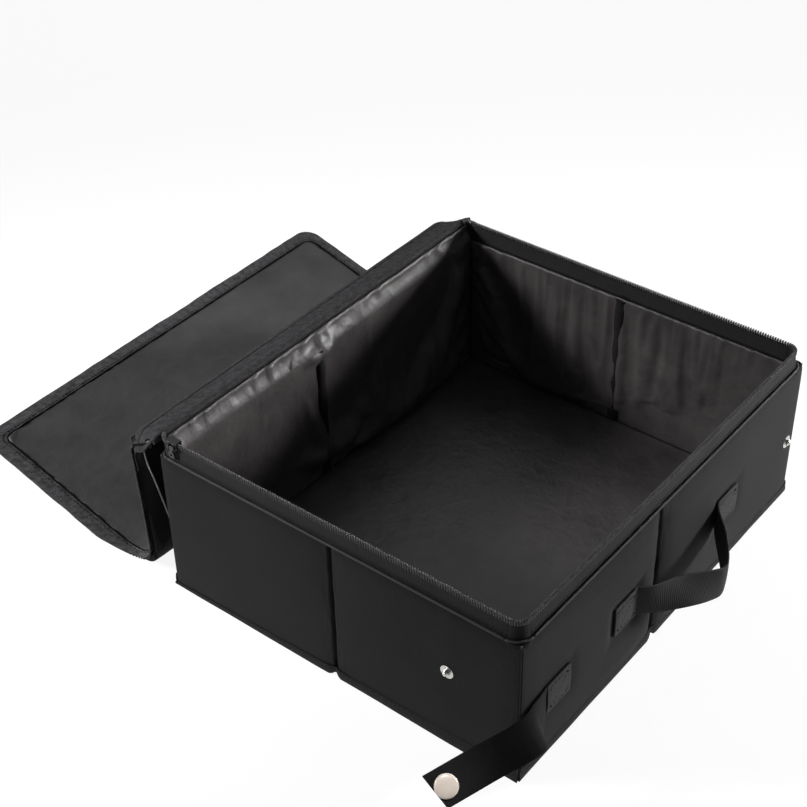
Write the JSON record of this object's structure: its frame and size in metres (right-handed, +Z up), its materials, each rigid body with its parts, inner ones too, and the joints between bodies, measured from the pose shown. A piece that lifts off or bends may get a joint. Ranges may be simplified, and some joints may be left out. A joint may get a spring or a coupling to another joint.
{
  "type": "foldable litter box",
  "caption": "Folding tub of coated cloth over boards, with a zipped lid hanging open, a webbing handle and a snap strap.",
  "frame": {"origin": "centre of the tub's floor, on the surface that it stands on", "axes": "+X from the hinge wall to the handle wall, +Y along those walls, +Z up"},
  "size_m": [0.5131, 0.4265, 0.1368],
  "materials": {
    "outer_cloth": "matte",
    "lining": "satin",
    "board": "matte",
    "binding": "matte",
    "webbing": "matte",
    "zip_tape": "matte",
    "zip_teeth": "gloss",
    "lid_zip_teeth": "gloss",
    "snap_metal": "polished",
    "snap_cap": "gloss",
    "slider_metal": "gloss",
    "floor_pad": "matte"
  },
  "bodies": {
    "tub": {"hinge_wall_cover": "outer_cloth", "hinge_wall_boards": "board", "hinge_wall_lining": "lining", "hinge_wall_binding": "binding", "hinge_wall_tape": "zip_tape", "floor_pad": "floor_pad", "floor_lining": "lining"},
    "front_left": {"front_left_cover": "outer_cloth", "front_left_board": "board", "front_left_lining": "lining", "front_left_binding": "binding", "front_left_rim_tape": "zip_tape", "front_left_zip_teeth": "zip_teeth"},
    "front_right": {"front_right_cover": "outer_cloth", "front_right_board": "board", "front_right_lining": "lining", "front_right_binding": "binding", "front_right_rim_tape": "zip_tape", "front_right_zip_teeth": "zip_teeth", "front_stud": "snap_metal"},
    "handle_wall": {"handle_wall_cover": "outer_cloth", "handle_wall_boards": "board", "handle_wall_lining": "lining", "handle_wall_binding": "binding", "handle_wall_rim_tape": "zip_tape", "handle_wall_zip_teeth": "zip_teeth", "side_stud": "snap_metal", "handle_anchor_near": "webbing", "handle_anchor_far": "webbing", "strap_anchor": "webbing"},
    "back_left": {"back_left_cover": "outer_cloth", "back_left_board": "board", "back_left_lining": "lining", "back_left_binding": "binding", "back_left_rim_tape": "zip_tape", "back_left_zip_teeth": "zip_teeth"},
    "back_right": {"back_right_cover": "outer_cloth", "back_right_board": "board", "back_right_lining": "lining", "back_right_binding": "binding", "back_right_rim_tape": "zip_tape", "back_right_zip_teeth": "zip_teeth"},
    "handle": {"handle_webbing": "webbing"},
    "snap_strap": {"strap_webbing": "webbing", "snap_cap": "snap_cap", "snap_socket": "snap_metal"},
    "lid_strip": {"lid_hinge_strip": "outer_cloth"},
    "lid_inner": {"lid_inner_cover": "outer_cloth", "lid_inner_board": "board", "lid_inner_lining": "lining"},
    "lid_flap_front": {"lid_flap_front_tape": "zip_tape"},
    "lid_flap_back": {"lid_flap_back_tape": "zip_tape"},
    "lid_outer": {"lid_outer_cover": "outer_cloth", "lid_outer_board": "board", "lid_outer_lining": "lining", "lid_zip_tape": "zip_tape", "lid_zip_teeth": "lid_zip_teeth"},
    "slider": {"zip_slider": "slider_metal"},
    "pull": {"slider_pull": "slider_metal"}
  },
  "joints": [
    {"name": "wall_fold", "type": "hinge", "parent": "tub", "child": "front_left", "pos_m": [-0.1425, -0.17, 0], "axis": [0, 0, 1], "range_deg": [0, 85], "deforming": ["floor_pad", "floor_lining"]},
    {"name": "front_crease", "type": "hinge", "parent": "front_left", "child": "front_right", "pos_m": [0, -0.1794, 0], "axis": [0, 0, 1], "range_deg": [-170, 0]},
    {"name": "handle_corner", "type": "hinge", "parent": "front_right", "child": "handle_wall", "pos_m": [0.1425, -0.17, 0], "axis": [0, 0, 1], "range_deg": [0, 85]},
    {"name": "back_corner", "type": "hinge", "parent": "tub", "child": "back_left", "pos_m": [-0.1425, 0.17, 0], "axis": [0, 0, 1], "range_deg": [-85, 0]},
    {"name": "back_crease", "type": "hinge", "parent": "back_left", "child": "back_right", "pos_m": [0, 0.1794, 0], "axis": [0, 0, 1], "range_deg": [0, 170]},
    {"name": "handle_swing", "type": "hinge", "parent": "handle_wall", "child": "handle", "pos_m": [0.151, 0.008, 0.057], "axis": [0, -1, 0], "range_deg": [-10, 50], "deforming": ["handle_webbing"]},
    {"name": "strap_swing", "type": "hinge", "parent": "handle_wall", "child": "snap_strap", "pos_m": [0.152, -0.15015, 0.053], "axis": [0, 0, 1], "range_deg": [0, 110]},
    {"name": "lid_hinge", "type": "hinge", "parent": "tub", "child": "lid_strip", "pos_m": [-0.1515, 0, 0.1334], "axis": [0, 1, 0], "range_deg": [0, 165.4]},
    {"name": "lid_board_hinge", "type": "hinge", "parent": "lid_strip", "child": "lid_inner", "pos_m": [-0.1775, 0, 0.1224], "axis": [0, 1, 0], "range_deg": [0, 107.3]},
    {"name": "lid_crease", "type": "hinge", "parent": "lid_inner", "child": "lid_outer", "pos_m": [-0.172, 0, 0.00553], "axis": [0, 1, 0], "range_deg": [-108.79, 0]},
    {"name": "flap_front_turn", "type": "hinge", "parent": "lid_inner", "child": "lid_flap_front", "pos_m": [-0.17485, -0.178, 0.12252], "axis": [0.047, 0, -0.9989], "range_deg": [0, 180.1]},
    {"name": "flap_back_turn", "type": "hinge", "parent": "lid_inner", "child": "lid_flap_back", "pos_m": [-0.17485, 0.178, 0.12252], "axis": [0.047, 0, -0.9989], "range_deg": [-180.1, 0]},
    {"name": "slider_travel", "type": "slide", "parent": "front_left", "child": "slider", "axis": [1, 0, 0], "range_m": [0, 0.09]},
    {"name": "pull_lift", "type": "hinge", "parent": "slider", "child": "pull", "pos_m": [-0.137, -0.1772, 0.13295], "axis": [-1, 0, 0], "range_deg": [0, 90]}
  ],
  "couplings": [
    {"joint": "front_crease", "follows": "wall_fold", "ratio": -2},
    {"joint": "handle_corner", "follows": "wall_fold", "ratio": 1},
    {"joint": "back_corner", "follows": "wall_fold", "ratio": -1},
    {"joint": "back_crease", "follows": "wall_fold", "ratio": 2},
    {"joint": "lid_crease", "follows": "lid_hinge", "ratio": -0.65717},
    {"joint": "flap_front_turn", "follows": "lid_hinge", "ratio": 1.0883},
    {"joint": "flap_back_turn", "follows": "lid_hinge", "ratio": -1.0883}
  ]
}
